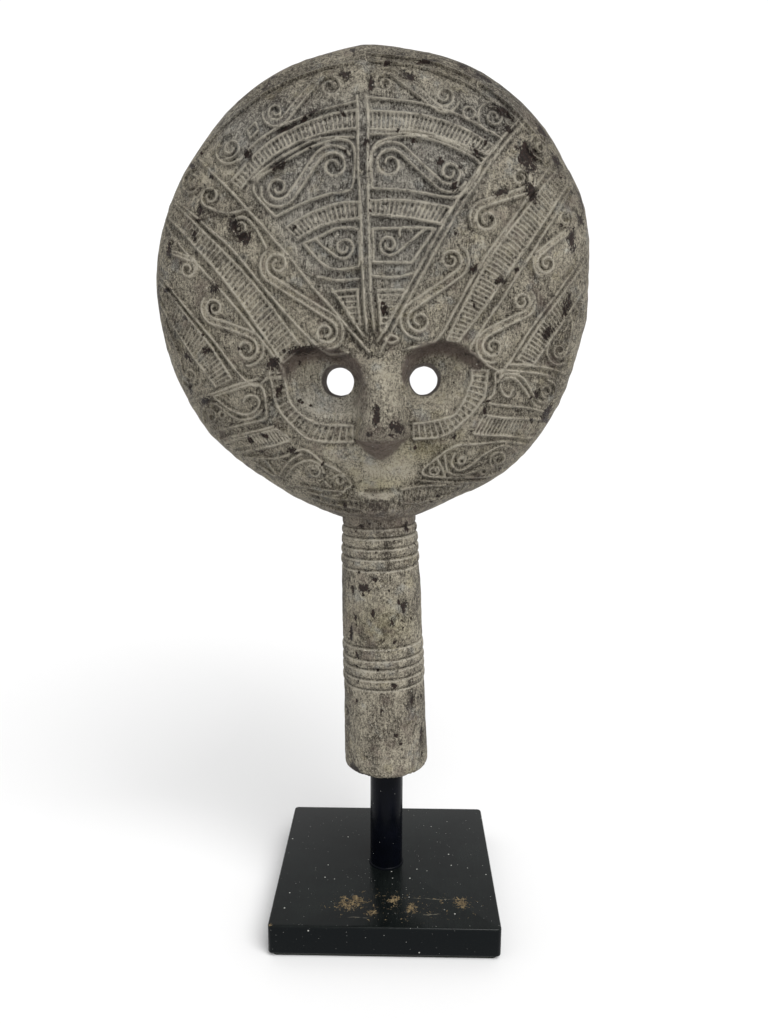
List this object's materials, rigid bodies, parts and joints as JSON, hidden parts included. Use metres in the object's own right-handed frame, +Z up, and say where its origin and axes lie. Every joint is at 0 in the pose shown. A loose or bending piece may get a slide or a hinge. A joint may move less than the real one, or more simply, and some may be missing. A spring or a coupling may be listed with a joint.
{
  "type": "carved wooden mask on stand",
  "caption": "Carved wooden mask with a round patterned head and ringed neck, standing on a round black post bolted to a square black base.",
  "frame": {"origin": "middle of the felt's underside, where the stand rests", "axes": "+Z up, the face looks along -Y, +X to the viewer's right"},
  "size_m": [0.2789, 0.15, 0.5706],
  "materials": {
    "felt": "dense short felt, glued on",
    "base_lacquer": "brushed black lacquer, satin, dusty and chipped",
    "zinc_steel": "bright zinc plated",
    "post_lacquer": "gloss black lacquer",
    "carved_wood": "grey limewash rubbed over dark stain, chipped and pitted"
  },
  "bodies": {
    "stand": {"felt_pad": "felt", "stand_base": "base_lacquer", "base_washer": "zinc_steel", "base_bolt": "zinc_steel", "post_plug": "zinc_steel", "stand_post": "post_lacquer", "post_foot_bead": "post_lacquer"},
    "mask": {"mask": "carved_wood"}
  },
  "joints": [
    {"name": "mask_lift", "type": "slide", "parent": "stand", "child": "mask", "axis": [0, 0, 1], "range_m": [0, 0.075]}
  ]
}
